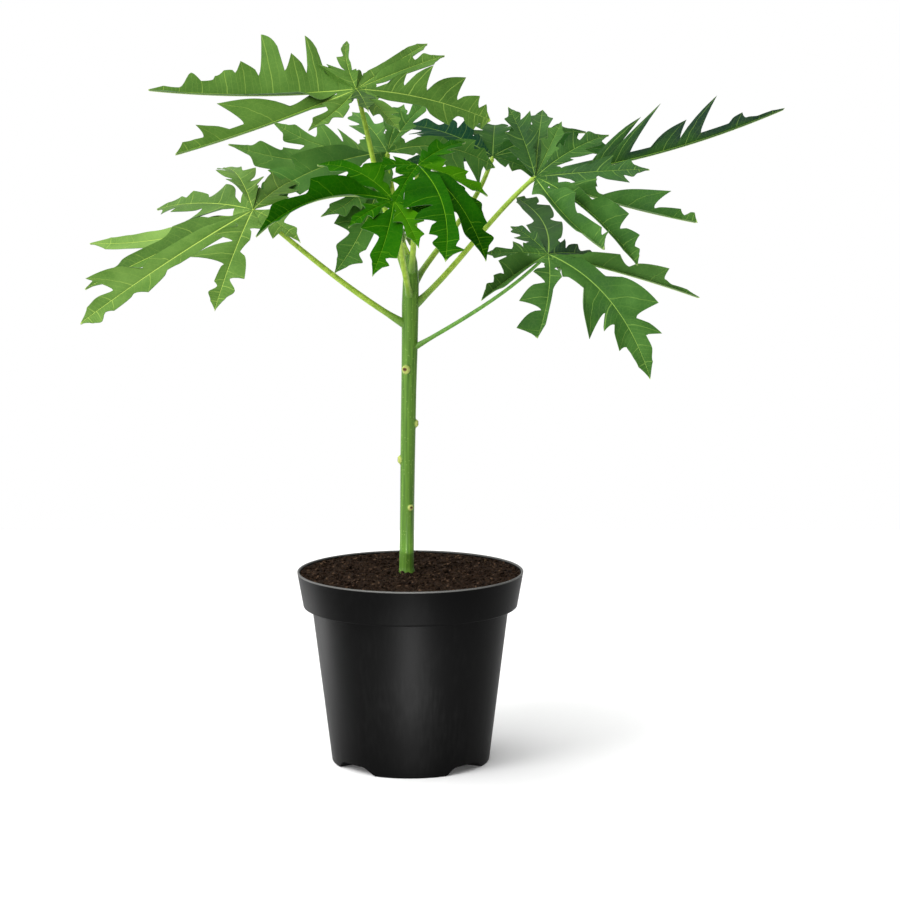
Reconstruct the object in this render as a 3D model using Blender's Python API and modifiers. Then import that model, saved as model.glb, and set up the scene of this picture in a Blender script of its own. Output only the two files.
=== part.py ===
"""A papaya seedling in a black nursery pot, about 0.65 m tall.

Metres, +Z up.  The origin is on the pot's axis, on its flat underside.  The view that the sizes
were read from looks along +Y, with +X to the right.
"""
import math
from collections import namedtuple

import bmesh
import bpy
from mathutils import Matrix, Vector
from mathutils.bvhtree import BVHTree

# Pot: a moulded nursery pot with a deep collar and four notches round its foot
RIM_RADIUS = 0.100
COLLAR_FOOT_RADIUS = 0.0956
WALL_TOP_RADIUS = 0.0870
FOOT_RADIUS = 0.070
POT_HEIGHT = 0.170
COLLAR_HEIGHT = 0.031
LIP_HEIGHT = 0.004
POT_WALL = 0.002
POT_FLOOR = 0.0025
MOULD_ROUND = 0.001
NOTCHES = 4
NOTCH_ANGLE = math.radians(30)
NOTCH_HEIGHT = 0.007
NOTCH_INNER_RADIUS = 0.055
DRAIN_RADIUS = 0.004
TURNED_SEGMENTS = 48
BUD_SEGMENTS = 12
MERGE = 0.00001

# Soil: fills the pot to just under its rim, a little higher round the stem
SOIL_EDGE_HEIGHT = 0.1655
SOIL_TOP_HEIGHT = 0.1680
SOIL_TOP_RADIUS = 0.022

# Stem: height, X, Y and radius from the soil to the growing tip
STEM_ROUTE = (
    (0.1683, -0.0035, 0.000, 0.0082),
    (0.1730, -0.0035, 0.000, 0.0070),
    (0.2100, -0.0030, 0.000, 0.0066),
    (0.2700, -0.0020, 0.001, 0.0066),
    (0.3300, -0.0010, 0.001, 0.0068),
    (0.3700, 0.0000, 0.000, 0.0071),
    (0.4050, 0.0005, 0.000, 0.0074),
    (0.4250, 0.0010, 0.000, 0.0070),
    (0.4420, 0.0010, 0.000, 0.0056),
    (0.4480, 0.0010, 0.000, 0.0040),
)
# Scars that fallen leaves left on the stem: height, compass heading and radius
SCARS = (
    (0.349, 245, 0.0036),
    (0.301, 355, 0.0034),
    (0.269, 185, 0.0036),
    (0.227, 300, 0.0026),
    (0.320, 110, 0.0032),
    (0.248, 60, 0.0030),
)
SCAR_SINK = 0.45
STEM_BEVEL = 4
TIP_BUD_RADIUS = 0.0032
TIP_BUD_LENGTH = 0.016

# Leaf stalks
STALK_BASE_RADIUS = 0.0044
STALK_RADIUS = 0.0034
STALK_TIP_RADIUS = 0.0022
STALK_POINTS = 9
STALK_BEVEL = 2
STALK_STEP = 0.001

# Blades: a lobe's widths and stations are parts of its length
BLADE_THICKNESS = 0.01
SINUS_REACH = 0.20
SHORT_SINUS = 0.45
LONG_LOBE = 0.135
SHORT_LOBE = 0.065
NECK = 0.080
LAST_LEAFLET = 0.60
SHOULDER = 0.62
LEAFLETS_END = 0.62
TOOTH_STATION = 0.73
RIGHT_TOOTH = 0.8
SLIM_STATION = 0.87
SLIM = 0.045
OPEN_GAP = math.radians(75)
OPEN_WEB = math.radians(28)
OPEN_SIDE = math.radians(45)
SECTOR_SHARE = 0.94
FOLD_START = 0.05
FOLD_REACH = 0.20

GAP = 0.0003

# heading, rise: compass and climb of the line from the hub to the tip, in degrees
# arch: how far the midrib stands above that line; fold: how far both halves turn up
# roll: how far its left half turns up; reach: how far its leaflets stand out
# sweep: how far they point forward; tooth: the half width of its end leaflet
Lobe = namedtuple("Lobe", "heading rise length arch fold roll reach sweep tooth",
                  defaults=(0.10, 10, 0, 0.27, 0.85, 0.12))
# joint: where the stalk leaves the stem; leave, arrive: its climb there and at the hub, in degrees
# lean: how far the whole leaf tips towards the viewer
Leaf = namedtuple("Leaf", "place joint leave hub arrive lean lobes")

LEAVES = (
    Leaf("lower_left", 0.385, 26, (-0.132, -0.030, 0.486), 46, 45, (
        Lobe(60, 18, 0.100), Lobe(114, 17, 0.114, 0.05), Lobe(135, -5, 0.150, reach=0.20),
        Lobe(158, -12, 0.160, reach=0.18, tooth=0.07),
        Lobe(182, -24, 0.165, 0.05, reach=0.20, tooth=0.07),
        Lobe(210, -30, 0.185, 0.05, reach=0.18, tooth=0.08),
        Lobe(257, -35, 0.132, reach=0.22), Lobe(300, -25, 0.070))),
    Leaf("top_left", 0.424, 55, (-0.044, -0.010, 0.588), 80, 40, (
        Lobe(2, -13, 0.126, 0.05, 45, reach=0.32), Lobe(28, 4, 0.105, 0.0, reach=0.22),
        Lobe(54, 22, 0.100, 0.0, reach=0.18), Lobe(101, 24, 0.070),
        Lobe(172, 0, 0.182, -0.08, 60, reach=0.36, sweep=0.25, tooth=0.05),
        Lobe(205, -17, 0.172, -0.06, tooth=0.07), Lobe(240, -21, 0.096, sweep=0.6),
        Lobe(285, -16, 0.080))),
    Leaf("back_left", 0.433, 45, (-0.021, 0.065, 0.536), 70, 45, (
        Lobe(12, -7, 0.085), Lobe(62, 20, 0.115), Lobe(110, 18, 0.120),
        Lobe(160, 12, 0.118, 0.0), Lobe(187, 1, 0.142, -0.08), Lobe(210, -33, 0.090),
        Lobe(240, -50, 0.132))),
    Leaf("front_left", 0.410, 35, (-0.012, -0.078, 0.500), 50, 40, (
        Lobe(135, 15, 0.070), Lobe(187, -15, 0.125, 0.05, 25, reach=0.20), Lobe(218, -20, 0.070),
        Lobe(256, -42, 0.099), Lobe(292, -40, 0.070, reach=0.22), Lobe(328, -20, 0.050))),
    Leaf("front_right", 0.430, 50, (0.012, -0.048, 0.527), 65, 35, (
        Lobe(10, -22, 0.070), Lobe(50, 10, 0.067), Lobe(185, 2, 0.060),
        Lobe(240, -22, 0.072), Lobe(283, -50, 0.105, reach=0.30), Lobe(315, -48, 0.110),
        Lobe(345, -38, 0.080))),
    Leaf("right", 0.401, 36, (0.106, 0.010, 0.511), 45, 45, (
        Lobe(8, 15, 0.235, -0.05, 45, reach=0.22, sweep=1.2, tooth=0.04), Lobe(57, 17, 0.125),
        Lobe(88, 28, 0.136), Lobe(140, 22, 0.080), Lobe(293, -25, 0.130, 0.0, reach=0.14),
        Lobe(316, -30, 0.140, 0.25, reach=0.21), Lobe(339, -14, 0.150, 0.0, reach=0.22, tooth=0.07),
        Lobe(355, -3, 0.112, reach=0.22))),
    Leaf("lower_right", 0.365, 31, (0.119, -0.045, 0.450), 46, 50, (
        Lobe(8, -17, 0.140, roll=-20, reach=0.20, tooth=0.06), Lobe(55, -3, 0.117),
        Lobe(98, 28, 0.100, reach=0.20), Lobe(160, 0, 0.060), Lobe(230, -20, 0.101, 0.05),
        Lobe(260, -35, 0.122, reach=0.22), Lobe(300, -46, 0.098, 0.25), Lobe(321, -45, 0.147, 0.30))),
    Leaf("back_right", 0.418, 42, (0.074, 0.118, 0.532), 60, 30, (
        Lobe(5, 2, 0.120), Lobe(45, 10, 0.130), Lobe(88, 12, 0.140),
        Lobe(130, 12, 0.140), Lobe(165, -5, 0.090), Lobe(318, -20, 0.090))),
)


def clear_scene():
    for old in list(bpy.data.objects):
        bpy.data.objects.remove(old)


def make_collection(name):
    collection = bpy.data.collections.new(name)
    bpy.context.scene.collection.children.link(collection)
    return collection


def make_material(name, colour, roughness):
    material = bpy.data.materials.new(name)
    material.use_nodes = True
    shader = material.node_tree.nodes["Principled BSDF"]
    shader.inputs["Base Color"].default_value = (*colour, 1.0)
    shader.inputs["Roughness"].default_value = roughness
    shader.inputs["Metallic"].default_value = 0.0
    return material


def add_object(name, mesh, collection, material=None):
    thing = bpy.data.objects.new(name, mesh)
    collection.objects.link(thing)
    if material:
        mesh.materials.append(material)
    return thing


def add_cutter(name, mesh, collection):
    cutter = add_object(name, mesh, collection)
    cutter.hide_render = True
    cutter.display_type = "WIRE"
    return cutter


def boolean(thing, operation, other):
    step = thing.modifiers.new(f"{operation} {other.name}", "BOOLEAN")
    step.operation = operation
    step.solver = "EXACT"
    step.object = other


def turned(name, profile, collection, material, segments=TURNED_SEGMENTS):
    """A turned solid: a profile in the XZ plane, from the axis over its outer side back to it."""
    mesh = bpy.data.meshes.new(name)
    steps = [(i, i + 1) for i in range(len(profile) - 1)]
    mesh.from_pydata([(radius, 0.0, height) for radius, height in profile], steps, [])
    thing = add_object(name, mesh, collection, material)
    screw = thing.modifiers.new("Turn", "SCREW")
    screw.angle = math.tau
    screw.steps = segments
    screw.render_steps = segments
    screw.use_merge_vertices = True
    screw.merge_threshold = MERGE
    return thing


def wedge_mesh(name, inner, outer, half_angle, low, high, heading):
    """A block between two radii and two levels, as wide as a sector of the pot's foot."""
    profile = []
    for radius, turn in ((inner, -1), (outer, -1), (outer, 1), (inner, 1)):
        angle = heading + turn * half_angle
        profile.append((radius * math.cos(angle), radius * math.sin(angle)))
    shape = bmesh.new()
    floor = shape.faces.new([shape.verts.new((x, y, low)) for x, y in profile])
    grown = bmesh.ops.extrude_face_region(shape, geom=[floor])
    raised = [item for item in grown["geom"] if isinstance(item, bmesh.types.BMVert)]
    bmesh.ops.translate(shape, verts=raised, vec=(0, 0, high - low))
    bmesh.ops.recalc_face_normals(shape, faces=shape.faces)
    mesh = bpy.data.meshes.new(name)
    shape.to_mesh(mesh)
    shape.free()
    return mesh


def cylinder_mesh(name, radius, low, high, centre, segments=16):
    shape = bmesh.new()
    place = Matrix.Translation((*centre, (low + high) / 2))
    bmesh.ops.create_cone(shape, cap_ends=True, segments=segments, radius1=radius,
                          radius2=radius, depth=high - low, matrix=place)
    mesh = bpy.data.meshes.new(name)
    shape.to_mesh(mesh)
    shape.free()
    return mesh


def notch_headings():
    for index in range(NOTCHES):
        yield math.radians(45) + index * math.tau / NOTCHES


def build_pot(parts, cutters, material):
    collar_foot = POT_HEIGHT - COLLAR_HEIGHT
    profile = (
        (0.0, POT_FLOOR),
        (FOOT_RADIUS - POT_WALL, POT_FLOOR),
        (WALL_TOP_RADIUS - POT_WALL, collar_foot),
        (COLLAR_FOOT_RADIUS - POT_WALL, collar_foot + POT_WALL),
        (RIM_RADIUS - POT_WALL, POT_HEIGHT - LIP_HEIGHT),
        (RIM_RADIUS - POT_WALL, POT_HEIGHT),
        (RIM_RADIUS - MOULD_ROUND / 2, POT_HEIGHT),
        (RIM_RADIUS, POT_HEIGHT - MOULD_ROUND),
        (RIM_RADIUS, POT_HEIGHT - LIP_HEIGHT),
        (RIM_RADIUS - MOULD_ROUND, POT_HEIGHT - LIP_HEIGHT - MOULD_ROUND),
        (COLLAR_FOOT_RADIUS, collar_foot + MOULD_ROUND),
        (COLLAR_FOOT_RADIUS - MOULD_ROUND, collar_foot),
        (WALL_TOP_RADIUS + MOULD_ROUND, collar_foot),
        (WALL_TOP_RADIUS, collar_foot - MOULD_ROUND),
        (FOOT_RADIUS + MOULD_ROUND / 4, MOULD_ROUND),
        (FOOT_RADIUS - MOULD_ROUND, 0.0),
        (0.0, 0.0),
    )
    pot = turned("pot", profile, parts, material)
    roof = NOTCH_HEIGHT + POT_WALL
    side = POT_WALL / FOOT_RADIUS
    for index, heading in enumerate(notch_headings()):
        inner = NOTCH_INNER_RADIUS - POT_WALL
        housing = wedge_mesh(f"housing_{index}", inner, FOOT_RADIUS - POT_WALL / 2,
                             NOTCH_ANGLE / 2 + side, POT_FLOOR / 2, roof, heading)
        boolean(pot, "UNION", add_cutter(f"housing_{index}", housing, cutters))
    for index, heading in enumerate(notch_headings()):
        recess = wedge_mesh(f"recess_{index}", NOTCH_INNER_RADIUS, FOOT_RADIUS * 1.2,
                            NOTCH_ANGLE / 2, -POT_FLOOR, NOTCH_HEIGHT, heading)
        boolean(pot, "DIFFERENCE", add_cutter(f"recess_{index}", recess, cutters))
        middle = (NOTCH_INNER_RADIUS + FOOT_RADIUS - POT_WALL) / 2
        centre = (middle * math.cos(heading), middle * math.sin(heading))
        drain = cylinder_mesh(f"drain_{index}", DRAIN_RADIUS, NOTCH_HEIGHT / 2, roof + POT_WALL, centre)
        boolean(pot, "DIFFERENCE", add_cutter(f"drain_{index}", drain, cutters))


def build_soil(parts, cutters, material):
    collar_foot = POT_HEIGHT - COLLAR_HEIGHT
    inset = POT_WALL + GAP
    profile = (
        (0.0, SOIL_TOP_HEIGHT),
        (SOIL_TOP_RADIUS, SOIL_TOP_HEIGHT),
        (RIM_RADIUS - inset - GAP, SOIL_EDGE_HEIGHT),
        (COLLAR_FOOT_RADIUS - inset, collar_foot + POT_WALL + GAP),
        (WALL_TOP_RADIUS - inset, collar_foot + GAP),
        (FOOT_RADIUS - inset, POT_FLOOR + GAP),
        (0.0, POT_FLOOR + GAP),
    )
    soil = turned("soil", profile, parts, material)
    side = (POT_WALL + GAP) / (FOOT_RADIUS - POT_WALL)
    for index, heading in enumerate(notch_headings()):
        room = wedge_mesh(f"room_{index}", NOTCH_INNER_RADIUS - inset, FOOT_RADIUS * 1.1,
                          NOTCH_ANGLE / 2 + side, 0.0, NOTCH_HEIGHT + inset, heading)
        boolean(soil, "DIFFERENCE", add_cutter(f"room_{index}", room, cutters))


def tube_mesh(name, points, radii, resolution):
    """A round tube through points, with a radius at each, as a closed mesh."""
    curve = bpy.data.curves.new(name, "CURVE")
    curve.dimensions = "3D"
    curve.bevel_depth = 1.0
    curve.bevel_resolution = resolution
    curve.use_fill_caps = True
    spline = curve.splines.new("POLY")
    spline.points.add(len(points) - 1)
    for slot, point, radius in zip(spline.points, points, radii):
        slot.co = (*point, 1.0)
        slot.radius = radius
    guide = bpy.data.objects.new(name, curve)
    bpy.context.scene.collection.objects.link(guide)
    graph = bpy.context.evaluated_depsgraph_get()
    mesh = bpy.data.meshes.new_from_object(guide.evaluated_get(graph))
    shape = bmesh.new()
    shape.from_mesh(mesh)
    bmesh.ops.remove_doubles(shape, verts=shape.verts, dist=MERGE)
    shape.to_mesh(mesh)
    shape.free()
    bpy.data.objects.remove(guide)
    mesh.shade_smooth()
    return mesh


def stem_at(height):
    """The stem's centre and radius at a height."""
    for low, high in zip(STEM_ROUTE, STEM_ROUTE[1:]):
        if low[0] <= height <= high[0]:
            share = (height - low[0]) / (high[0] - low[0])
            x, y, radius = (low[i] + share * (high[i] - low[i]) for i in (1, 2, 3))
            return Vector((x, y, height)), radius
    raise ValueError("height is off the stem")


def compass(heading, rise=0.0):
    """A unit vector that points along a compass heading and climbs by rise, both in degrees."""
    turn, climb = math.radians(heading), math.radians(rise)
    flat = math.cos(climb)
    return Vector((flat * math.cos(turn), flat * math.sin(turn), math.sin(climb)))


def build_stem(parts, cutters, material):
    points = [(x, y, height) for height, x, y, radius in STEM_ROUTE]
    radii = [row[3] for row in STEM_ROUTE]
    stem = add_object("stem", tube_mesh("stem", points, radii, STEM_BEVEL), parts, material)
    for index, (height, heading, size) in enumerate(SCARS):
        centre, radius = stem_at(height)
        place = Matrix.Translation(centre + compass(heading) * (radius - size * SCAR_SINK))
        shape = bmesh.new()
        bmesh.ops.create_uvsphere(shape, u_segments=8, v_segments=5, radius=size, matrix=place)
        mesh = bpy.data.meshes.new(f"scar_{index}")
        shape.to_mesh(mesh)
        shape.free()
        boolean(stem, "UNION", add_cutter(f"scar_{index}", mesh, cutters))
    grown = [radius + GAP for radius in radii]
    x, y, top = points[-1]
    points[-1] = (x, y, top + GAP)
    room = add_cutter("stem_room", tube_mesh("stem_room", points, grown, STEM_BEVEL), cutters)
    return room


def build_tip_bud(parts, material):
    """The bud of folded young leaves that ends the stem."""
    height, x, y, radius = STEM_ROUTE[-1]
    profile = (
        (0.0, TIP_BUD_LENGTH),
        (TIP_BUD_RADIUS * 0.35, TIP_BUD_LENGTH * 0.92),
        (TIP_BUD_RADIUS * 0.90, TIP_BUD_LENGTH * 0.45),
        (TIP_BUD_RADIUS, TIP_BUD_LENGTH * 0.20),
        (TIP_BUD_RADIUS * 0.8, 0.0),
        (0.0, 0.0),
    )
    bud = turned("tip_bud", profile, parts, material, BUD_SEGMENTS)
    bud.location = (x, y, height + GAP)


def smooth_step(value):
    value = min(max(value, 0.0), 1.0)
    return value * value * (3 - 2 * value)


def rib_frame(lobe, lean, station):
    """The midrib's point, its direction, and the blade's left and up, a share of the way along."""
    line = compass(lobe.heading, lobe.rise) * lobe.length
    across = compass(lobe.heading + 90)
    above = line.cross(across).normalized()
    bend = line / 2 + above * lobe.arch * lobe.length
    point = 2 * station * (1 - station) * bend + station * station * line
    along = ((1 - 2 * station) * bend + station * line).normalized()
    turn = math.radians(lobe.roll) * smooth_step((station - FOLD_START) / FOLD_REACH)
    turn += math.radians(lean) * math.cos(math.radians(lobe.heading))
    roll = Matrix.Rotation(turn, 3, along)
    left = roll @ across
    return point, along, left, along.cross(left)


def blade_point(lobe, lean, station, width):
    """A point out from the midrib along a side vein; width is signed, left of the midrib above 0."""
    point, along, left, up = rib_frame(lobe, lean, station)
    fold = math.radians(lobe.fold) * smooth_step((station - FOLD_START) / FOLD_REACH)
    side = math.copysign(1.0, width)
    out = left * side * math.cos(fold) + up * math.sin(fold) + along * lobe.sweep
    return point + out * abs(width) * lobe.length


def sector_width(station, half_angle, sweep, rise=0):
    """How far a side vein that starts at a station runs before it meets the next lobe's."""
    slope = math.tan(half_angle) * math.cos(math.radians(rise))
    return station * slope / (1 - sweep * slope)


def leaflet_rows(lobe, start):
    """Stations along the midrib past the web, with the blade's width to its left and its right."""
    count = 3 if lobe.length > LONG_LOBE else 2 if lobe.length > SHORT_LOBE else 1
    steps = 3 * count
    rows = []
    for step in range(1, steps):
        station = start + (LEAFLETS_END - start) * step / steps
        reach = lobe.reach * (1 + (LAST_LEAFLET - 1) * step / steps)
        widths = (NECK, SHOULDER * reach, reach)
        rows.append((station, widths[step % 3], widths[(step + 1) % 3]))
    rows.append((LEAFLETS_END, NECK, NECK))
    rows.append((TOOTH_STATION, lobe.tooth, lobe.tooth * RIGHT_TOOTH))
    rows.append((SLIM_STATION, SLIM, SLIM))
    return rows


def blade_mesh(leaf):
    """One leaf's blade as an open surface: lobes round the hub that share a web up to the sinuses."""
    lobes = leaf.lobes
    count = len(lobes)
    hub = Vector(leaf.hub)
    sinus = SINUS_REACH * sum(lobe.length for lobe in lobes) / count
    sinus = min(sinus, min(lobe.length for lobe in lobes) * SHORT_SINUS)
    shape = bmesh.new()
    middle = shape.verts.new(hub)
    halves = []
    webs = {}
    for index, lobe in enumerate(lobes):
        following = lobes[(index + 1) % count]
        gap = math.radians((following.heading - lobe.heading) % 360)
        halves.append(OPEN_SIDE if gap > OPEN_GAP else gap / 2)
        web = OPEN_WEB if gap > OPEN_GAP else gap / 2
        reach = sector_width(sinus, web, lobe.sweep)
        left = blade_point(lobe, leaf.lean, sinus / lobe.length, reach / lobe.length)
        reach = sector_width(sinus, web, following.sweep)
        right = blade_point(following, leaf.lean, sinus / following.length, -reach / following.length)
        if gap > OPEN_GAP:
            webs[index, 1] = shape.verts.new(hub + left)
            webs[(index + 1) % count, -1] = shape.verts.new(hub + right)
        else:
            shared = shape.verts.new(hub + (left + right) / 2)
            webs[index, 1] = shared
            webs[(index + 1) % count, -1] = shared
    for index, lobe in enumerate(lobes):
        start = sinus / lobe.length
        rows = leaflet_rows(lobe, start)
        rib = [shape.verts.new(hub + rib_frame(lobe, leaf.lean, start)[0])]
        for station, left, right in rows:
            rib.append(shape.verts.new(hub + rib_frame(lobe, leaf.lean, station)[0]))
        tip = shape.verts.new(hub + rib_frame(lobe, leaf.lean, 1.0)[0])
        for side, half in ((1, halves[index]), (-1, halves[index - 1])):
            edge = [webs[index, side]]
            for station, left, right in rows:
                wanted = left if side > 0 else right
                room = SECTOR_SHARE * sector_width(station, half, lobe.sweep, lobe.rise)
                place = hub + blade_point(lobe, leaf.lean, station, side * min(wanted, room))
                edge.append(shape.verts.new(place))
            faces = [(middle, rib[0], edge[0])]
            for row in range(len(rows)):
                faces.append((rib[row], rib[row + 1], edge[row + 1]))
                faces.append((rib[row], edge[row + 1], edge[row]))
            faces.append((rib[-1], tip, edge[-1]))
            for face in faces:
                shape.faces.new(face if side > 0 else face[::-1])
    mesh = bpy.data.meshes.new(f"leaf_{leaf.place}")
    shape.to_mesh(mesh)
    shape.free()
    return mesh


def blade_span(mesh):
    """The longest side of the blade's box."""
    rows = [[vertex.co[axis] for vertex in mesh.vertices] for axis in range(3)]
    return max(max(row) - min(row) for row in rows)


def build_blade(leaf, parts, material):
    mesh = blade_mesh(leaf)
    blade = add_object(f"leaf_{leaf.place}", mesh, parts, material)
    skin = blade.modifiers.new("Thickness", "SOLIDIFY")
    skin.thickness = BLADE_THICKNESS * blade_span(mesh)
    skin.offset = 0.0
    return blade


def stalk_curve(leaf):
    """The control points of the stalk's line, from the stem's centre to the blade's hub."""
    start = stem_at(leaf.joint)[0]
    end = Vector(leaf.hub)
    run = end - start
    heading = math.degrees(math.atan2(run.y, run.x))
    first = start + compass(heading, leaf.leave) * run.length / 3
    last = end - compass(heading, leaf.arrive) * run.length / 3
    return start, first, last, end


def curve_point(curve, t):
    u = 1 - t
    start, first, last, end = curve
    return u**3 * start + 3 * u * u * t * first + 3 * u * t * t * last + t**3 * end


def stalk_end(curve, blade):
    """How far along its line a stalk runs until its end face is clear of the blade's underside."""
    mesh = blade.data
    surface = BVHTree.FromPolygons([v.co for v in mesh.vertices], [p.vertices for p in mesh.polygons])
    clear = blade.modifiers["Thickness"].thickness / 2 + GAP
    t = 1.0
    while t > 0.5:
        centre = curve_point(curve, t)
        along = (centre - curve_point(curve, t - 0.01)).normalized()
        across = along.orthogonal().normalized() * STALK_TIP_RADIUS
        rim = [centre + Matrix.Rotation(math.tau * i / 8, 3, along) @ across for i in range(8)]
        if min(surface.find_nearest(point)[3] for point in rim) >= clear:
            return t
        t -= STALK_STEP
    raise ValueError("the stalk never clears its blade")


def build_stalk(leaf, blade, parts, stem_room, material):
    curve = stalk_curve(leaf)
    end = stalk_end(curve, blade)
    points = []
    radii = []
    for step in range(STALK_POINTS):
        share = step / (STALK_POINTS - 1)
        points.append(curve_point(curve, end * share))
        radii.append(STALK_RADIUS + (STALK_TIP_RADIUS - STALK_RADIUS) * share)
    radii[0] = STALK_BASE_RADIUS
    name = f"stalk_{leaf.place}"
    stalk = add_object(name, tube_mesh(name, points, radii, STALK_BEVEL), parts, material)
    boolean(stalk, "DIFFERENCE", stem_room)


def main():
    clear_scene()
    parts = make_collection("potted_papaya_seedling")
    cutters = make_collection("cutters")
    black = make_material("black moulded plastic", (0.006, 0.006, 0.007), 0.35)
    earth = make_material("potting soil", (0.030, 0.013, 0.008), 0.95)
    bark = make_material("green stem", (0.22, 0.42, 0.08), 0.50)
    stalk_green = make_material("leaf stalk", (0.36, 0.60, 0.06), 0.45)
    leaf_green = make_material("leaf blade", (0.08, 0.22, 0.03), 0.50)
    build_pot(parts, cutters, black)
    build_soil(parts, cutters, earth)
    stem_room = build_stem(parts, cutters, bark)
    build_tip_bud(parts, stalk_green)
    for leaf in LEAVES:
        blade = build_blade(leaf, parts, leaf_green)
        build_stalk(leaf, blade, parts, stem_room, stalk_green)


main()
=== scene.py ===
"""A papaya seedling in a black nursery pot: the finished look, built round the part's solids.

Metres, +Z up, with the origin under the middle of the pot.  The photograph looks along +Y.
"""
import math
import random
from collections import namedtuple

import bmesh
import bpy
from mathutils import Matrix, Vector, noise


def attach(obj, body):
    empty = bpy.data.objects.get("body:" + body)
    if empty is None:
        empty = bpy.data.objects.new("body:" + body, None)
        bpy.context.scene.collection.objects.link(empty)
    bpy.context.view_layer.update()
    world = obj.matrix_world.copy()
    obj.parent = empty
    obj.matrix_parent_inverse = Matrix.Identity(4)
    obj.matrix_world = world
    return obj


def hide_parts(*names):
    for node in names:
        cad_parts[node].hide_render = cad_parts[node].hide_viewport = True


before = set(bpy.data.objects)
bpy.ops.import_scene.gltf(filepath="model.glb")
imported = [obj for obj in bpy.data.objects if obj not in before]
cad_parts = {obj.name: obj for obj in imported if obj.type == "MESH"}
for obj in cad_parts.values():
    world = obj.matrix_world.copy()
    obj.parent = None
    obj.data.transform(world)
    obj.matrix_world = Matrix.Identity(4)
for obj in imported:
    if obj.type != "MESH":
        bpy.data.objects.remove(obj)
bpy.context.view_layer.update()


# The nursery pot.  A real one is injection moulded in black polypropylene, about 2 mm thick, with
# a deep collar to lift it by and four notches round its foot, each with a drain hole in its roof.
RIM_RADIUS = 0.100
COLLAR_FOOT_RADIUS = 0.0945
WALL_TOP_RADIUS = 0.0870
FOOT_RADIUS = 0.070
POT_HEIGHT = 0.170
COLLAR_HEIGHT = 0.031
# How far below the rim the pot's painted rim highlight reaches
RIM_HIGHLIGHT_DEPTH = 0.0016
POT_WALL = 0.002
POT_FLOOR = 0.0025
POT_SEGMENTS = 144
MOULD_ROUND = 0.0008
SHADE_HOLD = 0.0020
MERGE = 0.00001
NOTCHES = 4
NOTCH_ROOF_ANGLE = math.radians(22)
NOTCH_FOOT_ANGLE = math.radians(38)
NOTCH_HEIGHT = 0.007
NOTCH_INNER_RADIUS = 0.055
NOTCH_ROUND = 0.0025
DRAIN_RADIUS = 0.004


def hex_to_linear(colour):
    """An sRGB hex colour as linear red, green, blue and alpha."""
    shares = [int(colour[start:start + 2], 16) / 255 for start in (1, 3, 5)]
    lit = [share / 12.92 if share <= 0.04045 else ((share + 0.055) / 1.055) ** 2.4 for share in shares]
    return (*lit, 1.0)


def new_material(name):
    material = bpy.data.materials.new(name)
    material.use_nodes = True
    return material


def set_input(material, node, key, value):
    """Gives a node's input a value or hex colour, or links it to an output or a node's first in use."""
    if isinstance(value, str):
        value = hex_to_linear(value)
    if isinstance(value, bpy.types.Node):
        value = next(output for output in value.outputs if output.enabled)
    if isinstance(value, bpy.types.NodeSocket):
        material.node_tree.links.new(value, node.inputs[key])
    else:
        node.inputs[key].default_value = value


def add_node(material, kind, inputs, **settings):
    """Adds a node with its settings; an input is a value, another node or one of its outputs."""
    node = material.node_tree.nodes.new("ShaderNode" + kind)
    for key, value in settings.items():
        setattr(node, key, value)
    for key, value in inputs.items():
        set_input(material, node, key, value)
    return node


def finish_material(material, inputs):
    """Gives the material's shader its values and what changes over the surface."""
    for key, value in inputs.items():
        set_input(material, material.node_tree.nodes["Principled BSDF"], key, value)


def add_piece(name, mesh, replaced, materials):
    """A piece of the plant or pot, which rides on the one body."""
    piece = bpy.data.objects.new(name, mesh)
    bpy.context.scene.collection.objects.link(piece)
    for material in materials:
        mesh.materials.append(material)
    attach(piece, "root")
    if replaced:
        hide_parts(replaced)
    return piece


def settle(piece, angle):
    """Turns a piece's modifiers into its mesh, smooth but for the edges sharper than the angle."""
    graph = bpy.context.evaluated_depsgraph_get()
    mesh = bpy.data.meshes.new_from_object(piece.evaluated_get(graph))
    piece.modifiers.clear()
    piece.data = mesh
    mesh.shade_smooth()
    mesh.set_sharp_from_angle(angle=math.radians(angle))


def finish_mesh(name, shape):
    """Turns a worked shape into a mesh."""
    mesh = bpy.data.meshes.new(name)
    shape.to_mesh(mesh)
    shape.free()
    return mesh


def around(radius, angle, height=0.0):
    """The point at a radius, angle and height round the pot's axis."""
    return radius * math.cos(angle), radius * math.sin(angle), height


def turned_mesh(name, profile, segments):
    """A turned solid: a profile of radius and height, from the axis over its outside back to it."""
    shape = bmesh.new()
    corners = [shape.verts.new((radius, 0.0, height)) for radius, height in profile]
    edges = [shape.edges.new(pair) for pair in zip(corners, corners[1:])]
    bmesh.ops.spin(shape, geom=corners + edges, cent=(0, 0, 0), axis=(0, 0, 1),
                   angle=math.tau, steps=segments, use_merge=True)
    bmesh.ops.remove_doubles(shape, verts=shape.verts, dist=MERGE)
    bmesh.ops.recalc_face_normals(shape, faces=shape.faces)
    return finish_mesh(name, shape)


def hold_corners(profile):
    """Adds points close to the ends of each long stretch, so that rounded corners shade only there."""
    held = [profile[0]]
    for start, end in zip(profile, profile[1:]):
        share = SHADE_HOLD / math.dist(start, end)
        if share < 0.25:
            for part in (share, 1 - share):
                held.append(tuple(low + (high - low) * part for low, high in zip(start, end)))
        held.append(end)
    return held


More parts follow.
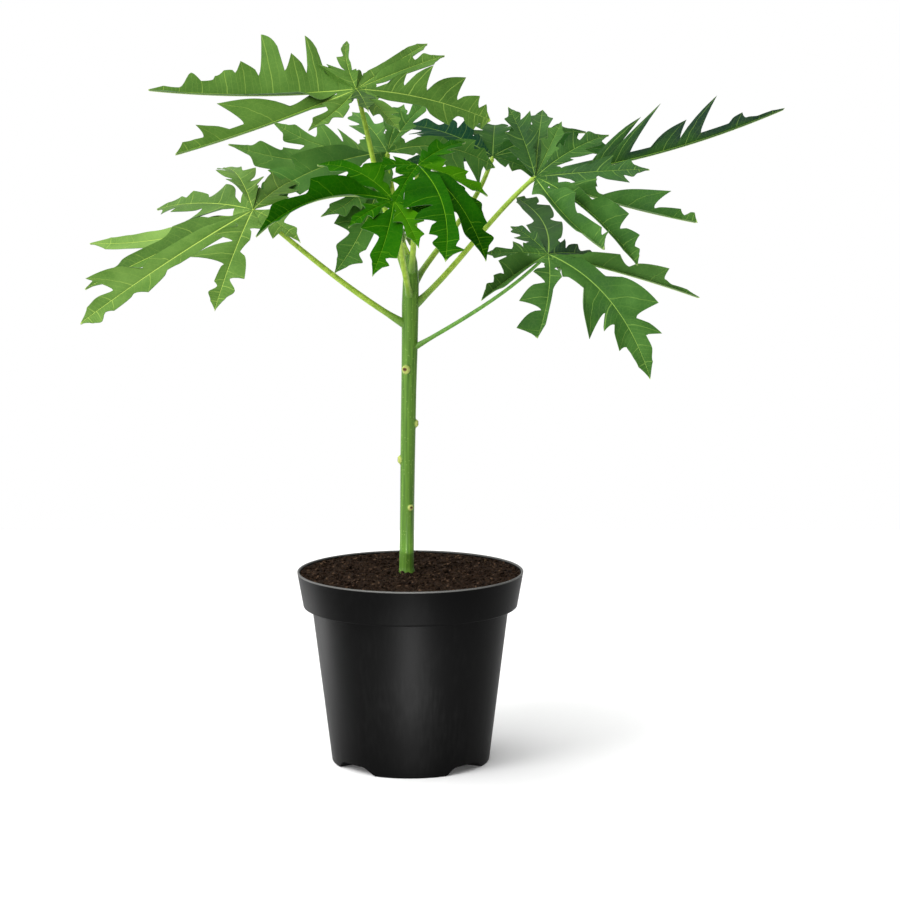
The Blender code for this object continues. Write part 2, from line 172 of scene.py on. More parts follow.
def wedge_mesh(name, inner, outer, foot_angle, roof_angle, low, high, heading):
    """A block between two radii and two levels, which narrows from its foot angle to its roof angle."""
    shape = bmesh.new()
    levels = []
    for height, width in ((low, foot_angle), (high, roof_angle)):
        level = []
        for radius, turn in ((inner, -1), (outer, -1), (outer, 1), (inner, 1)):
            level.append(shape.verts.new(around(radius, heading + turn * width / 2, height)))
        shape.faces.new(level)
        levels.append(level)
    for side in range(4):
        following = (side + 1) % 4
        shape.faces.new((levels[0][side], levels[0][following], levels[1][following], levels[1][side]))
    bmesh.ops.recalc_face_normals(shape, faces=shape.faces)
    return finish_mesh(name, shape)


def cut(piece, operation, mesh, rounding=0.0):
    """Joins a shape to a piece, or cuts it out, and settles the result."""
    cutter = bpy.data.objects.new(mesh.name, mesh)
    bpy.context.scene.collection.objects.link(cutter)
    if rounding:
        soft = cutter.modifiers.new("Round", "BEVEL")
        soft.width = rounding
        soft.segments = 4
    step = piece.modifiers.new(mesh.name, "BOOLEAN")
    step.operation = operation
    step.solver = "EXACT"
    step.object = cutter
    settle(piece, 30)
    bpy.data.objects.remove(cutter)


# Polypropylene from a polished mould with a faint orange peel: near black, satin, with soft wide
# highlights.  Handling leaves fine upright scuffs, a little greyer and rougher than the rest.  The
# rim's edge is painted a pale grey line, a painted highlight where the edge would catch the light.
black_pp = new_material("black polypropylene, moulded")
pot_place = add_node(black_pp, "TexCoord", {}).outputs["Object"]
# Scuffs are about 2.4 mm wide and 20 mm long, and lie in clouds of about 45 mm
pot_grain = add_node(black_pp, "Mapping", {"Vector": pot_place, "Scale": (1, 1, 0.12)})
scuffs = add_node(black_pp, "TexNoise", {"Vector": pot_grain, "Scale": 420.0, "Detail": 4.0})
clouds = add_node(black_pp, "TexNoise", {"Vector": pot_place, "Scale": 22.0, "Detail": 3.0})
dust = add_node(black_pp, "Math", {0: scuffs, 1: clouds}, operation="MULTIPLY")
dusty = add_node(black_pp, "MapRange", {"Value": dust, "From Min": 0.22, "From Max": 0.42})
pot_tint = add_node(black_pp, "Mix", {"Factor": dusty, "A": "#030303", "B": "#060606"}, data_type="RGBA")
pot_gloss = add_node(black_pp, "MapRange", {"Value": dust, "To Min": 0.40, "To Max": 0.52})
# Orange peel cells are about 1 mm across
peel = add_node(black_pp, "TexNoise", {"Vector": pot_place, "Scale": 1000.0, "Detail": 1.0})
pot_bump = add_node(black_pp, "Bump", {"Height": peel, "Strength": 0.12, "Distance": 0.0002})
pot_level = add_node(black_pp, "SeparateXYZ", {"Vector": pot_place}).outputs["Z"]
# Painted highlight: the top of the pot, round the rim's edge, is painted a pale grey line, inside and out
painted_rim_highlight = add_node(black_pp, "MapRange", {
    "Value": pot_level, "From Min": POT_HEIGHT - RIM_HIGHLIGHT_DEPTH, "From Max": POT_HEIGHT - RIM_HIGHLIGHT_DEPTH * 0.4},
    interpolation_type="SMOOTHSTEP")
pot_colour = add_node(black_pp, "Mix", {"Factor": painted_rim_highlight, "A": pot_tint, "B": "#5E5E5C"}, data_type="RGBA")
finish_material(black_pp, {"IOR": 1.49, "Specular IOR Level": 0.045, "Base Color": pot_colour,
                           "Roughness": pot_gloss, "Normal": pot_bump})

collar_foot = POT_HEIGHT - COLLAR_HEIGHT
pot_profile = (
    (0.0, POT_FLOOR),
    (FOOT_RADIUS - POT_WALL, POT_FLOOR),
    (WALL_TOP_RADIUS - POT_WALL, collar_foot),
    (COLLAR_FOOT_RADIUS - POT_WALL, collar_foot + POT_WALL),
    (RIM_RADIUS - POT_WALL, POT_HEIGHT),
    (RIM_RADIUS, POT_HEIGHT),
    (COLLAR_FOOT_RADIUS, collar_foot),
    (WALL_TOP_RADIUS, collar_foot),
    (FOOT_RADIUS, 0.0),
    (0.0, 0.0),
)
pot_shell = turned_mesh("nursery_pot", hold_corners(pot_profile), POT_SEGMENTS)
pot = add_piece("nursery_pot", pot_shell, "pot", [black_pp])
moulding = pot.modifiers.new("Mould rounds", "BEVEL")
moulding.width = MOULD_ROUND
moulding.segments = 3
moulding.limit_method = "ANGLE"
moulding.angle_limit = math.radians(20)
settle(pot, 30)
roof = NOTCH_HEIGHT + POT_WALL
wall_angle = 2 * POT_WALL / FOOT_RADIUS
middle = (NOTCH_INNER_RADIUS + FOOT_RADIUS - POT_WALL) / 2
for index in range(NOTCHES):
    heading = math.radians(45) + index * math.tau / NOTCHES
    housing = wedge_mesh(
        "housing", NOTCH_INNER_RADIUS - POT_WALL, FOOT_RADIUS - POT_WALL / 2,
        NOTCH_FOOT_ANGLE + wall_angle, NOTCH_ROOF_ANGLE + wall_angle, POT_FLOOR / 2, roof, heading)
    cut(pot, "UNION", housing)
    # The recess starts as far below the foot as it ends above it, so it widens on down there
    recess = wedge_mesh(
        "recess", NOTCH_INNER_RADIUS, FOOT_RADIUS * 1.2,
        NOTCH_FOOT_ANGLE * 2 - NOTCH_ROOF_ANGLE, NOTCH_ROOF_ANGLE, -NOTCH_HEIGHT, NOTCH_HEIGHT, heading)
    cut(pot, "DIFFERENCE", recess, NOTCH_ROUND)
    drain = turned_mesh("drain", ((0.0, roof + POT_WALL), (DRAIN_RADIUS, roof + POT_WALL),
                                  (DRAIN_RADIUS, NOTCH_HEIGHT / 2), (0.0, NOTCH_HEIGHT / 2)), 32)
    drain.transform(Matrix.Translation(around(middle, heading)))
    cut(pot, "DIFFERENCE", drain)


# The potting soil.  Damp dark peat fills the pot to just under its rim and is heaped a little round
# the stem.  Its surface is a rough bed with loose crumbs on it, each 1 to 5 mm across.
SOIL_GAP = 0.0003
SOIL_EDGE_HEIGHT = 0.1680
SOIL_TOP_HEIGHT = 0.1690
SOIL_TOP_RADIUS = 0.022
SOIL_RINGS = 90
SOIL_SPOKES = 260
SOIL_ROUGHNESS = 0.0026
SOIL_CALM = 0.004
LUMPS_TO_METRE = 140
CRUMBS = 2600
CRUMB_RADIUS = (0.0005, 0.0021)
CRUMB_MARGIN = 0.0015
CRUMB_RISE = 0.35
CRUMB_DENT = 0.35
DENTS_TO_METRE = 900

# Peat is matt and very dark brown, with paler fibres and a few tan flecks of bark
peat = new_material("damp peat potting soil")
peat_place = add_node(peat, "TexCoord", {}).outputs["Object"]
# Crumbs of about 2 mm, and fibres much finer than that
crumb_noise = add_node(peat, "TexNoise", {
    "Vector": peat_place, "Scale": 480.0, "Detail": 6.0, "Roughness": 0.7})
crumb_cells = add_node(peat, "TexVoronoi", {"Vector": peat_place, "Scale": 420.0}).outputs["Color"]
peat_tint = add_node(peat, "ValToRGB", {"Fac": crumb_noise})
for stop, (place, colour) in zip(peat_tint.color_ramp.elements, ((0.35, "#080402"), (0.72, "#3C2C20"))):
    stop.position = place
    stop.color = hex_to_linear(colour)
fleck = add_node(peat, "SeparateColor", {"Color": crumb_cells})
flecked = add_node(peat, "MapRange", {"Value": fleck, "From Min": 0.93, "From Max": 0.97, "To Max": 0.75})
peat_mix = add_node(peat, "Mix", {"Factor": flecked, "A": peat_tint, "B": "#5A4636"}, data_type="RGBA")
peat_bump = add_node(peat, "Bump", {"Height": crumb_noise, "Strength": 0.8, "Distance": 0.001})
finish_material(peat, {"Roughness": 0.92, "IOR": 1.4, "Specular IOR Level": 0.10,
                       "Base Color": peat_mix, "Normal": peat_bump})


def soil_level(x, y):
    """The height of the soil's rough surface, which calms down beside the pot's wall."""
    radius = math.hypot(x, y)
    share = min(max((radius - SOIL_TOP_RADIUS) / (RIM_RADIUS - POT_WALL - SOIL_TOP_RADIUS), 0.0), 1.0)
    level = SOIL_TOP_HEIGHT + (SOIL_EDGE_HEIGHT - SOIL_TOP_HEIGHT) * share
    # Four layers of lumps, each 2.1 times as fine as the one before it
    lumps = noise.fractal(Vector((x, y, 0)) * LUMPS_TO_METRE, 0.8, 2.1, 4)
    calm = min(1.0, (RIM_RADIUS - POT_WALL - radius) / SOIL_CALM)
    return level + SOIL_ROUGHNESS * (lumps - 0.2) * calm


soil_shape = bmesh.new()
wall_gap = POT_WALL + SOIL_GAP
soil_edge = RIM_RADIUS - wall_gap - SOIL_GAP
spokes = [math.tau * spoke / SOIL_SPOKES for spoke in range(SOIL_SPOKES)]
centre = soil_shape.verts.new((0, 0, soil_level(0, 0)))
rings = []
for ring in range(1, SOIL_RINGS + 1):
    places = [around(soil_edge * ring / SOIL_RINGS, angle)[:2] for angle in spokes]
    rings.append([soil_shape.verts.new((x, y, soil_level(x, y))) for x, y in places])
below = (
    (COLLAR_FOOT_RADIUS - wall_gap, collar_foot + POT_WALL + SOIL_GAP),
    (WALL_TOP_RADIUS - wall_gap, collar_foot + SOIL_GAP),
    (FOOT_RADIUS - wall_gap + NOTCH_HEIGHT * 0.1, NOTCH_HEIGHT + POT_WALL + SOIL_GAP),
)
for radius, height in below:
    rings.append([soil_shape.verts.new(around(radius, angle, height)) for angle in spokes])
for spoke in range(SOIL_SPOKES):
    following = (spoke + 1) % SOIL_SPOKES
    soil_shape.faces.new((centre, rings[0][spoke], rings[0][following]))
    for inner, outer in zip(rings, rings[1:]):
        soil_shape.faces.new((inner[spoke], outer[spoke], outer[following], inner[following]))
soil_shape.faces.new(list(reversed(rings[-1])))
soil_mesh = finish_mesh("soil_bed", soil_shape)
soil_mesh.shade_smooth()
add_piece("soil_bed", soil_mesh, "soil", [peat])

# Both are seeded, so that the crumbs and their dents come out the same in each run
dice = random.Random(4)
noise.seed_set(4)
crumb_shape = bmesh.new()
for index in range(CRUMBS):
    radius = (soil_edge - CRUMB_MARGIN) * math.sqrt(dice.random())
    x, y = around(radius, math.tau * dice.random())[:2]
    size = CRUMB_RADIUS[0] + (CRUMB_RADIUS[1] - CRUMB_RADIUS[0]) * dice.random() ** 3
    place = Matrix.Translation((x, y, soil_level(x, y) + size * CRUMB_RISE))
    place @= Matrix.Rotation(math.tau * dice.random(), 4, "Z")
    place @= Matrix.Diagonal((1.0 + 0.8 * dice.random(), 0.8, 0.6 + 0.4 * dice.random(), 1.0))
    made = bmesh.ops.create_icosphere(crumb_shape, subdivisions=1, radius=size, matrix=place)
    for corner in made["verts"]:
        corner.co += noise.noise_vector(corner.co * DENTS_TO_METRE) * size * CRUMB_DENT
add_piece("soil_crumbs", finish_mesh("soil_crumbs", crumb_shape), None, [peat])


# The stem.  Soft green tissue, 12 to 15 mm thick, flared where it leaves the soil.  It has faint
# long ridges, and a raised corky scar with a sunken middle where each old leaf stalk fell off.
# Height, x, y and radius of the stem, from the soil up
STEM_ROUTE = (
    (0.1665, -0.0035, 0.000, 0.0080),
    (0.1690, -0.0035, 0.000, 0.0071),
    (0.1730, -0.0035, 0.000, 0.0064),
    (0.2100, -0.0030, 0.000, 0.0062),
    (0.2700, -0.0020, 0.001, 0.0063),
    (0.3300, -0.0010, 0.001, 0.0066),
    (0.3700, 0.0000, 0.000, 0.0071),
    (0.4050, 0.0005, 0.000, 0.0074),
    (0.4250, 0.0010, 0.000, 0.0070),
    (0.4420, 0.0010, 0.000, 0.0056),
    (0.4480, 0.0010, 0.000, 0.0040),
)
# Height, compass heading and size of each scar
SCARS = (
    (0.349, 245, 0.0036),
    (0.301, 355, 0.0034),
    (0.269, 185, 0.0036),
    (0.227, 300, 0.0026),
    (0.320, 110, 0.0032),
    (0.248, 60, 0.0030),
)
STEM_STEP = 0.0008
STEM_SIDES = 96
RIDGES = 9
RIDGE_HEIGHT = 0.00005
SCAR_HEIGHT = 0.72
SCAR_PIT = 0.16
SCAR_BREADTH = 1.15
SCAR_POINT = 0.75
STEM_WANDER = 0.0004

# Young stem skin is smooth and slightly waxy.  Pale lines run along it, and pale specks lie on it.
# The scars are straw coloured cork with a brown middle.
stem_skin = new_material("young papaya stem skin")
stem_place = add_node(stem_skin, "TexCoord", {}).outputs["Object"]
# Lines about 1.6 mm apart round the stem and 45 mm long
stem_grain = add_node(stem_skin, "Mapping", {"Vector": stem_place, "Scale": (1, 1, 0.035)})
stem_lines = add_node(stem_skin, "TexNoise", {"Vector": stem_grain, "Scale": 620.0, "Detail": 3.0})
stem_spread = add_node(stem_skin, "MapRange", {"Value": stem_lines, "From Min": 0.25, "From Max": 0.80})
stem_colour = add_node(stem_skin, "Mix", {
    "Factor": stem_spread, "A": "#3E681A", "B": "#6E9A36"}, data_type="RGBA")
# Specks of about 1 mm, 3 mm apart
stem_speck = add_node(stem_skin, "TexVoronoi", {"Vector": stem_place, "Scale": 330.0})
speck_mask = add_node(stem_skin, "MapRange", {
    "Value": stem_speck, "From Min": 0.10, "From Max": 0.22, "To Min": 0.45, "To Max": 0.0})
stem_cork = add_node(stem_skin, "Attribute", {}, attribute_name="cork").outputs["Fac"]
stem_core = add_node(stem_skin, "Attribute", {}, attribute_name="core").outputs["Fac"]
for mask, colour in ((speck_mask, "#9CB860"), (stem_cork, "#B8C468"), (stem_core, "#55301A")):
    stem_colour = add_node(stem_skin, "Mix", {
        "Factor": mask, "A": stem_colour, "B": colour}, data_type="RGBA")
stem_rough = add_node(stem_skin, "MapRange", {"Value": stem_cork, "To Min": 0.42, "To Max": 0.75})
stem_bump = add_node(stem_skin, "Bump", {"Height": stem_lines, "Strength": 0.20, "Distance": 0.0004})
finish_material(stem_skin, {"IOR": 1.42, "Specular IOR Level": 0.35, "Base Color": stem_colour,
                            "Roughness": stem_rough, "Normal": stem_bump})


def smooth_step(value):
    """Rises smoothly from 0 to 1 as the value does."""
    value = min(max(value, 0.0), 1.0)
    return value * value * (3 - 2 * value)


def stem_at(height):
    """The stem's centre and radius at a height."""
    for low, high in zip(STEM_ROUTE, STEM_ROUTE[1:]):
        if height <= high[0]:
            share = (height - low[0]) / (high[0] - low[0])
            x, y, radius = (low[axis] + share * (high[axis] - low[axis]) for axis in (1, 2, 3))
            return Vector((x, y, height)), radius
    return Vector((high[1], high[2], height)), high[3]


def compass(heading, rise=0.0):
    """A unit vector that points along a compass heading and climbs by rise, both in degrees."""
    turn, climb = math.radians(heading), math.radians(rise)
    flat = math.cos(climb)
    return Vector((flat * math.cos(turn), flat * math.sin(turn), math.sin(climb)))


def scar_marks(height, angle, radius):
    """How far the scars raise the stem's skin at a point, and how corky and how sunken it is."""
    rise, cork, core = 0.0, 0.0, 0.0
    for level, heading, size in SCARS:
        across = math.remainder(angle - math.radians(heading), math.tau) * radius
        along = height - level
        # A scar is wider than it is high, with its lower edge drawn down to a point
        reach = math.hypot(across / SCAR_BREADTH, along * (1.0 if along > 0 else SCAR_POINT)) / size
        rise += size * SCAR_HEIGHT * smooth_step((1.15 - reach) / 0.75)
        rise -= size * SCAR_PIT * smooth_step((0.42 - reach) / 0.25)
        cork = max(cork, smooth_step((1.0 - reach) / 0.2))
        core = max(core, smooth_step((0.50 - reach) / 0.25))
    return rise, cork, core


def join_rings(shape, rings):
    """Joins rings of corners into a limb and closes both its ends."""
    for low, high in zip(rings, rings[1:]):
        for side in range(len(low)):
            following = (side + 1) % len(low)
            shape.faces.new((low[side], low[following], high[following], high[side]))
    shape.faces.new(list(reversed(rings[0])))
    shape.faces.new(rings[-1])


stem_shape = bmesh.new()
cork_layer = stem_shape.verts.layers.float.new("cork")
core_layer = stem_shape.verts.layers.float.new("core")
stem_low, stem_high = STEM_ROUTE[0][0], STEM_ROUTE[-1][0]
stem_rows = round((stem_high - stem_low) / STEM_STEP)
rings = []
for row in range(stem_rows + 1):
    height = stem_low + (stem_high - stem_low) * row / stem_rows
    centre, radius = stem_at(height)
    ring = []
    for side in range(STEM_SIDES):
        angle = math.tau * side / STEM_SIDES
        rise, cork, core = scar_marks(height, angle, radius)
        wander = noise.noise(Vector((math.cos(angle), math.sin(angle), height * 9))) * STEM_WANDER
        # The ridges sway a little round the stem on their way up
        ridge = RIDGE_HEIGHT * math.cos(RIDGES * angle + 3 * math.sin(height * 14))
        out = compass(math.degrees(angle)) * (radius + rise + wander + ridge)
        corner = stem_shape.verts.new(centre + out)
        corner[cork_layer] = cork
        corner[core_layer] = core
        ring.append(corner)
    rings.append(ring)
join_rings(stem_shape, rings)
settle(add_piece("green_stem", finish_mesh("green_stem", stem_shape), "stem", [stem_skin]), 60)


# The leaf blades.  Each is a thin palmate blade, about 0.5 mm thick, whose lobes spread round the
# end of its stalk.  A lobe has a stout pale midrib and is cut into leaflets nearly down to it.
BLADE_THICKNESS = 0.0005
RIB_THICKNESS = 0.0020
SINUS_REACH = 0.14
SINUS_ROUND = 0.07
WEB_ROWS = 12
WEB_PACE = 0.12
SHORT_SINUS = 0.40
LONG_LOBE = 0.135
SHORT_LOBE = 0.090
LAST_LEAFLET = 0.60
NECK_TAPER = 0.25
LEAFLETS_END = 0.62
RIGHT_TOOTH = 0.8
LEAFLET_TAIL = 0.40
BARE_BEFORE = 0.6
BARE_AFTER = 0.4
TIP_RISE = 0.32
TIP_FALL = 1.45
END_FALL = 0.9
LAST_TAIL = 0.05
LAST_GAP = 0.1
SWELL_PLACE = 0.29
SLIM_PLACE = 0.66
SLIM = 0.045
OPEN_GAP = math.radians(75)
OPEN_WEB = math.radians(28)
OPEN_SIDE = math.radians(45)
SECTOR_SHARE = 0.90
SECTOR_GROWTH = 3.0
FREE_GROWTH = 3.0
SWEEP_FADE = 0.30
RIB_GROOVE = 0.0003
FOLD_START = 0.05
FOLD_REACH = 0.20
ROW_STEP = 0.0020
COLUMNS = (0.3, 0.55, 0.8, 1.0)
RIB_HALF_WIDTH = 0.0065
RIB_TAPER = 0.8
RIB_COLUMN = 0.25
BLADE_WAVE = 0.10
BLADE_CURL = 0.35
SWEEP_CURVE = 0.4

# A lobe's angles are in degrees, and its length is in metres.  Stations along its midrib and widths
# are shares of that length.
# heading, rise: compass and climb of the line from the hub to the tip
# arch: how far the midrib stands above that line; bend: how far it bows out to its left
# fold: how far both halves turn up; roll: how far the lobe turns about its midrib, left half up
# reach: how far its leaflets stand out; sweep: how far they point forward, to how far they stand out
# tooth: the half width of its end leaflet; neck: half the width at the notches
# tone: darker below 0 and paler above, partly the lobe's own green and partly painted
# light and shade for how lit it is; fade: how much more so its leaflets' tips are
# than the hub, a painted shade
# left, right: station and reach of leaflets set one by one; a third number is how broad the leaflet's
# root is, and the lobe is bare beside it
Lobe = namedtuple(
    "Lobe", "heading rise length arch fold roll reach sweep tooth tone left right bend neck fade",
    defaults=(0.10, 10, 0, 0.25, 0.85, 0.12, 0.0, None, None, 0.0, 0.075, 0.0))
# joint: where the stalk leaves the stem; leave, arrive: its climb there and at the hub, in degrees
# lean: how far the whole leaf tips towards the viewer
Leaf = namedtuple("Leaf", "place joint leave hub arrive lean finish lobes")

LEAVES = (
    Leaf("lower_left", 0.385, 30, (-0.133, -0.030, 0.488), 40, 45, "sunlit", (
        Lobe(60, 18, 0.090), Lobe(110, 20, 0.100, 0.20, roll=10),
        Lobe(135, -1, 0.133, 0.08, sweep=0.6, tone=-0.2,
             left=((0.26, 0.30), (0.62, 0.13)), right=((0.35, 0.21), (0.64, 0.13))),
        Lobe(158, -11, 0.164, -0.11, tooth=0.06, left=((0.47, 0.09),), right=((0.47, 0.08),), tone=0.5),
        Lobe(182, -25, 0.159, 0.01, 20, sweep=0.8, tooth=0.05, tone=-0.3,
             left=((0.56, 0.09),), right=((0.34, 0.12), (0.64, 0.06))),
        Lobe(210, -30, 0.182, 0.03, sweep=0.8, tooth=0.07, neck=0.05, tone=0.1,
             left=((0.42, 0.05), (0.60, 0.09), (0.82, 0.06)), right=((0.49, 0.07), (0.70, 0.17))),
        Lobe(257, -37, 0.130, 0.06, sweep=0.5, tooth=0.09, neck=0.04, left=((0.30, 0.07), (0.66, 0.13)),
             right=((0.26, 0.17), (0.49, 0.25), (0.74, 0.06))),
        Lobe(325, -27, 0.058, sweep=0.4, left=((0.42, 0.25),), right=((0.58, 0.28),)))),
    Leaf("top_left", 0.424, 65, (-0.045, -0.010, 0.590), 75, 40, "upper", (
        Lobe(2, -13, 0.118, 0.09, 0, 22, sweep=0.5, tone=-0.2,
             left=((0.25, 0.20), (0.38, 0.28), (0.61, 0.29), (0.83, 0.15)),
             right=((0.64, 0.15, 0.26), (0.88, 0.13, 0.16))),
        Lobe(30, 19, 0.092, 0.02, left=((0.60, 0.13),), right=()),
        Lobe(52, 23, 0.106, 0.02, 15, sweep=0.6, tooth=0.07,
             left=((0.25, 0.08), (0.65, 0.06)), right=((0.49, 0.18),)),
        Lobe(101, 39, 0.068, 0.10, neck=0.04, tooth=0.06, bend=0.14,
             left=((0.50, 0.12),), right=((0.42, 0.05),)),
        Lobe(176, 0, 0.180, -0.05, 36, 5, sweep=0.2, tooth=0.03, neck=0.12, left=(), right=(
            (0.18, 0.38), (0.27, 0.21), (0.40, 0.36), (0.53, 0.17), (0.62, 0.13), (0.74, 0.06))),
        Lobe(200, -19, 0.168, -0.03, 34, 4, sweep=1.0, tooth=0.06, neck=0.05, tone=0.2, left=(),
             right=((0.15, 0.07), (0.47, 0.22, 0.26), (0.76, 0.11, 0.18))),
        Lobe(236, -27, 0.076, -0.08, 20, sweep=0.6), Lobe(282, -18, 0.061, 0.05, tone=-0.8),
        Lobe(316, -34, 0.064, 0.06, tone=0.1, left=((0.60, 0.16),), right=((0.45, 0.16),)))),
    Leaf("back_left", 0.433, 45, (-0.021, 0.065, 0.536), 70, 45, "shaded", (
        Lobe(12, -8, 0.100, 0.23, roll=15, sweep=0.5,
             left=((0.45, 0.10), (0.70, 0.15)), right=((0.28, 0.28), (0.56, 0.36), (0.84, 0.32))),
        Lobe(45, 41, 0.070), Lobe(75, 38, 0.070), Lobe(115, 24, 0.089),
        Lobe(172, 15, 0.109, -0.18, reach=0.34, tone=0.3),
        Lobe(190, 3, 0.141, -0.16, left=(), right=((0.57, 0.10),), tone=0.3),
        Lobe(208, -20, 0.139, 0.14, sweep=0.4, left=((0.67, 0.15),), right=((0.54, 0.16), (0.69, 0.17))),
        Lobe(226, -34, 0.097, -0.22),
        Lobe(243, -47, 0.140, -0.17, sweep=0.4, left=((0.70, 0.09),), right=((0.53, 0.18),)))),
    Leaf("front_left", 0.410, 35, (-0.012, -0.078, 0.497), 50, 40, "fresh", (
        Lobe(150, 21, 0.081, 0.23, sweep=0.4),
        Lobe(192, -14, 0.119, 0.28, 40, sweep=0.8, tone=-0.3, left=(), right=((0.41, 0.16),)),
        Lobe(225, -22, 0.055),
        Lobe(256, -42, 0.088, sweep=0.5, bend=0.10, left=((0.73, 0.17),), right=((0.40, 0.25),)),
        Lobe(292, -32, 0.069, tone=0.5), Lobe(328, -20, 0.055))),
    Leaf("front_right", 0.430, 50, (0.008, -0.048, 0.526), 65, 35, "fresh", (
        Lobe(50, 17, 0.066), Lobe(185, -6, 0.055), Lobe(240, -41, 0.055),
        Lobe(283, -36, 0.128, bend=0.14, sweep=0.3, left=((0.60, 0.06), (0.84, 0.08)),
             right=((0.40, 0.26), (0.59, 0.21), (0.73, 0.12)), tone=-0.2),
        Lobe(315, -44, 0.112, 0.20, sweep=0.4, tone=-0.5, left=((0.70, 0.11),)),
        Lobe(335, -37, 0.080, sweep=0.4, tone=-0.2), Lobe(350, -23, 0.065, tone=0.5))),
    Leaf("right", 0.401, 40, (0.109, 0.010, 0.515), 40, 45, "mature", (
        # The long lobe's leaflets darken towards their tips with painted shade
        Lobe(8, 15, 0.230, -0.07, 45, sweep=1.2, tooth=0.012, neck=0.03, tone=0.3, fade=-1.7,
             left=((0.24, 0.17, 0.07), (0.31, 0.18, 0.08), (0.50, 0.10, 0.12), (0.59, 0.14, 0.10),
                   (0.80, 0.05, 0.08)), right=()),
        Lobe(38, 23, 0.093, tone=-0.2), Lobe(64, 40, 0.075, 0.0, tone=0.3), Lobe(84, 32, 0.111, tone=-0.2),
        Lobe(120, 53, 0.076, tone=-0.3, right=((0.40, 0.22), (0.66, 0.20))),
        Lobe(293, -23, 0.144, -0.08, 50, sweep=0.6, left=((0.31, 0.16), (0.85, 0.09)), right=()),
        Lobe(316, -32, 0.136, 0.13, 50, sweep=0.6, tooth=0.08,
             left=((0.30, 0.08), (0.63, 0.18), (0.84, 0.13)), right=()),
        Lobe(336, -14, 0.152, -0.04, 46, sweep=1.4, tooth=0.05, neck=0.03,
             left=((0.22, 0.10), (0.58, 0.16, 0.32), (0.86, 0.05)), right=()),
        Lobe(352, 4, 0.099, 0.02, tone=-0.3, right=((0.38, 0.20), (0.68, 0.18))))),
    Leaf("lower_right", 0.365, 30, (0.118, -0.045, 0.451), 45, 50, "mature", (
        Lobe(8, -16, 0.138, 0.03, 48, sweep=0.8, tooth=0.02, neck=0.05, tone=0.5,
             left=((0.35, 0.11), (0.67, 0.11)), right=()),
        Lobe(38, -6, 0.061, tone=-0.7),
        Lobe(98, 15, 0.168, 0.03, sweep=0.4, tooth=0.05, neck=0.05, bend=-0.12, tone=-0.2,
             left=((0.38, 0.10),), right=((0.37, 0.09), (0.72, 0.10), (0.90, 0.08))),
        Lobe(125, 22, 0.058, tone=-0.3), Lobe(172, 0, 0.055, 0.04),
        Lobe(228, -22, 0.092, 0.04, 50, sweep=0.4, left=(), right=((0.52, 0.22), (0.71, 0.11)), tone=0.2),
        Lobe(262, -39, 0.102, sweep=0.3, bend=0.10, neck=0.04, tooth=0.03,
             left=((0.31, 0.10),), right=((0.28, 0.14), (0.58, 0.23), (0.94, 0.19))),
        Lobe(318, -42, 0.148, 0.24, sweep=0.9, tooth=0.07, neck=0.08,
             left=((0.49, 0.21, 0.30), (0.68, 0.15)),
             right=((0.41, 0.27, 0.20), (0.52, 0.15), (0.70, 0.12))))),
    Leaf("back_right", 0.418, 42, (0.074, 0.118, 0.532), 60, 30, "deep_shade", (
        Lobe(5, 2, 0.120), Lobe(45, 10, 0.130), Lobe(88, 12, 0.140),
        Lobe(130, 12, 0.140, tone=-0.8), Lobe(165, -5, 0.090, tone=-0.5), Lobe(318, -20, 0.070))),
)

# The blade's upper face is matt green over pale sunken veins; the tissue between them is quilted.
# The colours follow the leaf's age and light.  The sunlit, upper, shaded and deep shade sets are
# lit and shaded copies, painted light and shade for how brightly each leaf is lit.  Each set holds
# dark, usual and pale green, then the veins.
UPPER_GREENS = {
    "sunlit": ("#325618", "#557C30", "#7CA04C", "#B2D060"),
    "upper": ("#2D5018", "#4E762A", "#6C943E", "#A6C658"),
    "fresh": ("#0A3C00", "#1C5A00", "#3E7804", "#68A01C"),
    "mature": ("#284230", "#386424", "#5F8E40", "#92BA54"),
    "shaded": ("#2C5424", "#47782E", "#6C9A45", "#9CC258"),
    "deep_shade": ("#0A3420", "#264F18", "#447022", "#6C8E40"),
}
UNDER_GREENS = ("#34503A", "#5C7C4C", "#7F9C66", "#A2BC74")


